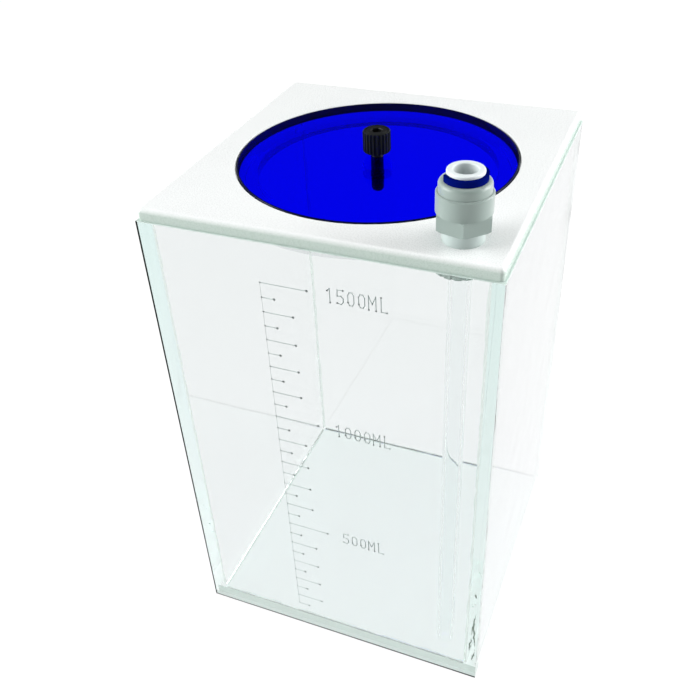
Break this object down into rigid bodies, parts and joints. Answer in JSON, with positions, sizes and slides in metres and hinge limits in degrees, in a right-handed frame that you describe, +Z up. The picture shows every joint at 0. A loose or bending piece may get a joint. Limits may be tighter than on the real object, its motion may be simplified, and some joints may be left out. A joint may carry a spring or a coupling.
{
  "type": "aquarium liquid container",
  "caption": "Square clear acrylic container with a volume scale, a lift-off round lid with a thumb knob, and a push-fit tube port over a dip tube.",
  "frame": {"origin": "centre of the base panel's underside, on the surface that the container stands on", "axes": "+Z up; the front panel with the scale faces -Y; the tube port stands at the front right corner, towards +X and -Y"},
  "size_m": [0.108, 0.108, 0.1936],
  "materials": {
    "clear_acrylic": "polished, clear",
    "white_acrylic": "opaque, polished",
    "blue_acrylic": "transparent blue, polished",
    "black_nylon": "moulded, knurled",
    "black_steel": "black oxide",
    "white_acetal": "moulded, satin",
    "black_rubber": "moulded",
    "stainless_steel": "stamped",
    "blue_acetal": "moulded",
    "clear_tube": "extruded, translucent"
  },
  "bodies": {
    "container": {"base_panel": "clear_acrylic", "front_panel": "clear_acrylic", "back_panel": "clear_acrylic", "left_panel": "clear_acrylic", "right_panel": "clear_acrylic", "top_plate": "white_acrylic", "lid_seat_ring": "clear_acrylic", "connector_body": "white_acetal", "connector_cap": "white_acetal", "connector_lock_nut": "white_acetal", "tube_o_ring": "black_rubber", "o_ring_spacer": "white_acetal", "dip_tube": "clear_tube"},
    "lid": {"lid_disc": "blue_acrylic", "lid_locating_ring": "blue_acrylic", "knob_boss": "blue_acrylic"},
    "knob": {"knob_cap": "black_nylon", "knob_screw": "black_steel"},
    "collet": {"collet": "white_acetal", "collet_teeth": "stainless_steel"},
    "clip": {"locking_clip": "blue_acetal"}
  },
  "joints": [
    {"name": "lid_lift", "type": "slide", "parent": "container", "child": "lid", "axis": [0, 0, 1], "range_m": [0, 0.06]},
    {"name": "knob_turn", "type": "hinge", "parent": "lid", "child": "knob", "pos_m": [0, 0, 0.174], "axis": [0, 0, 1], "continuous": true},
    {"name": "collet_travel", "type": "slide", "parent": "container", "child": "collet", "axis": [0, 0, 1], "range_m": [0, 0.0008]},
    {"name": "clip_slide", "type": "slide", "parent": "container", "child": "clip", "axis": [0.9205, -0.3907, 0], "range_m": [0, 0.012]}
  ]
}
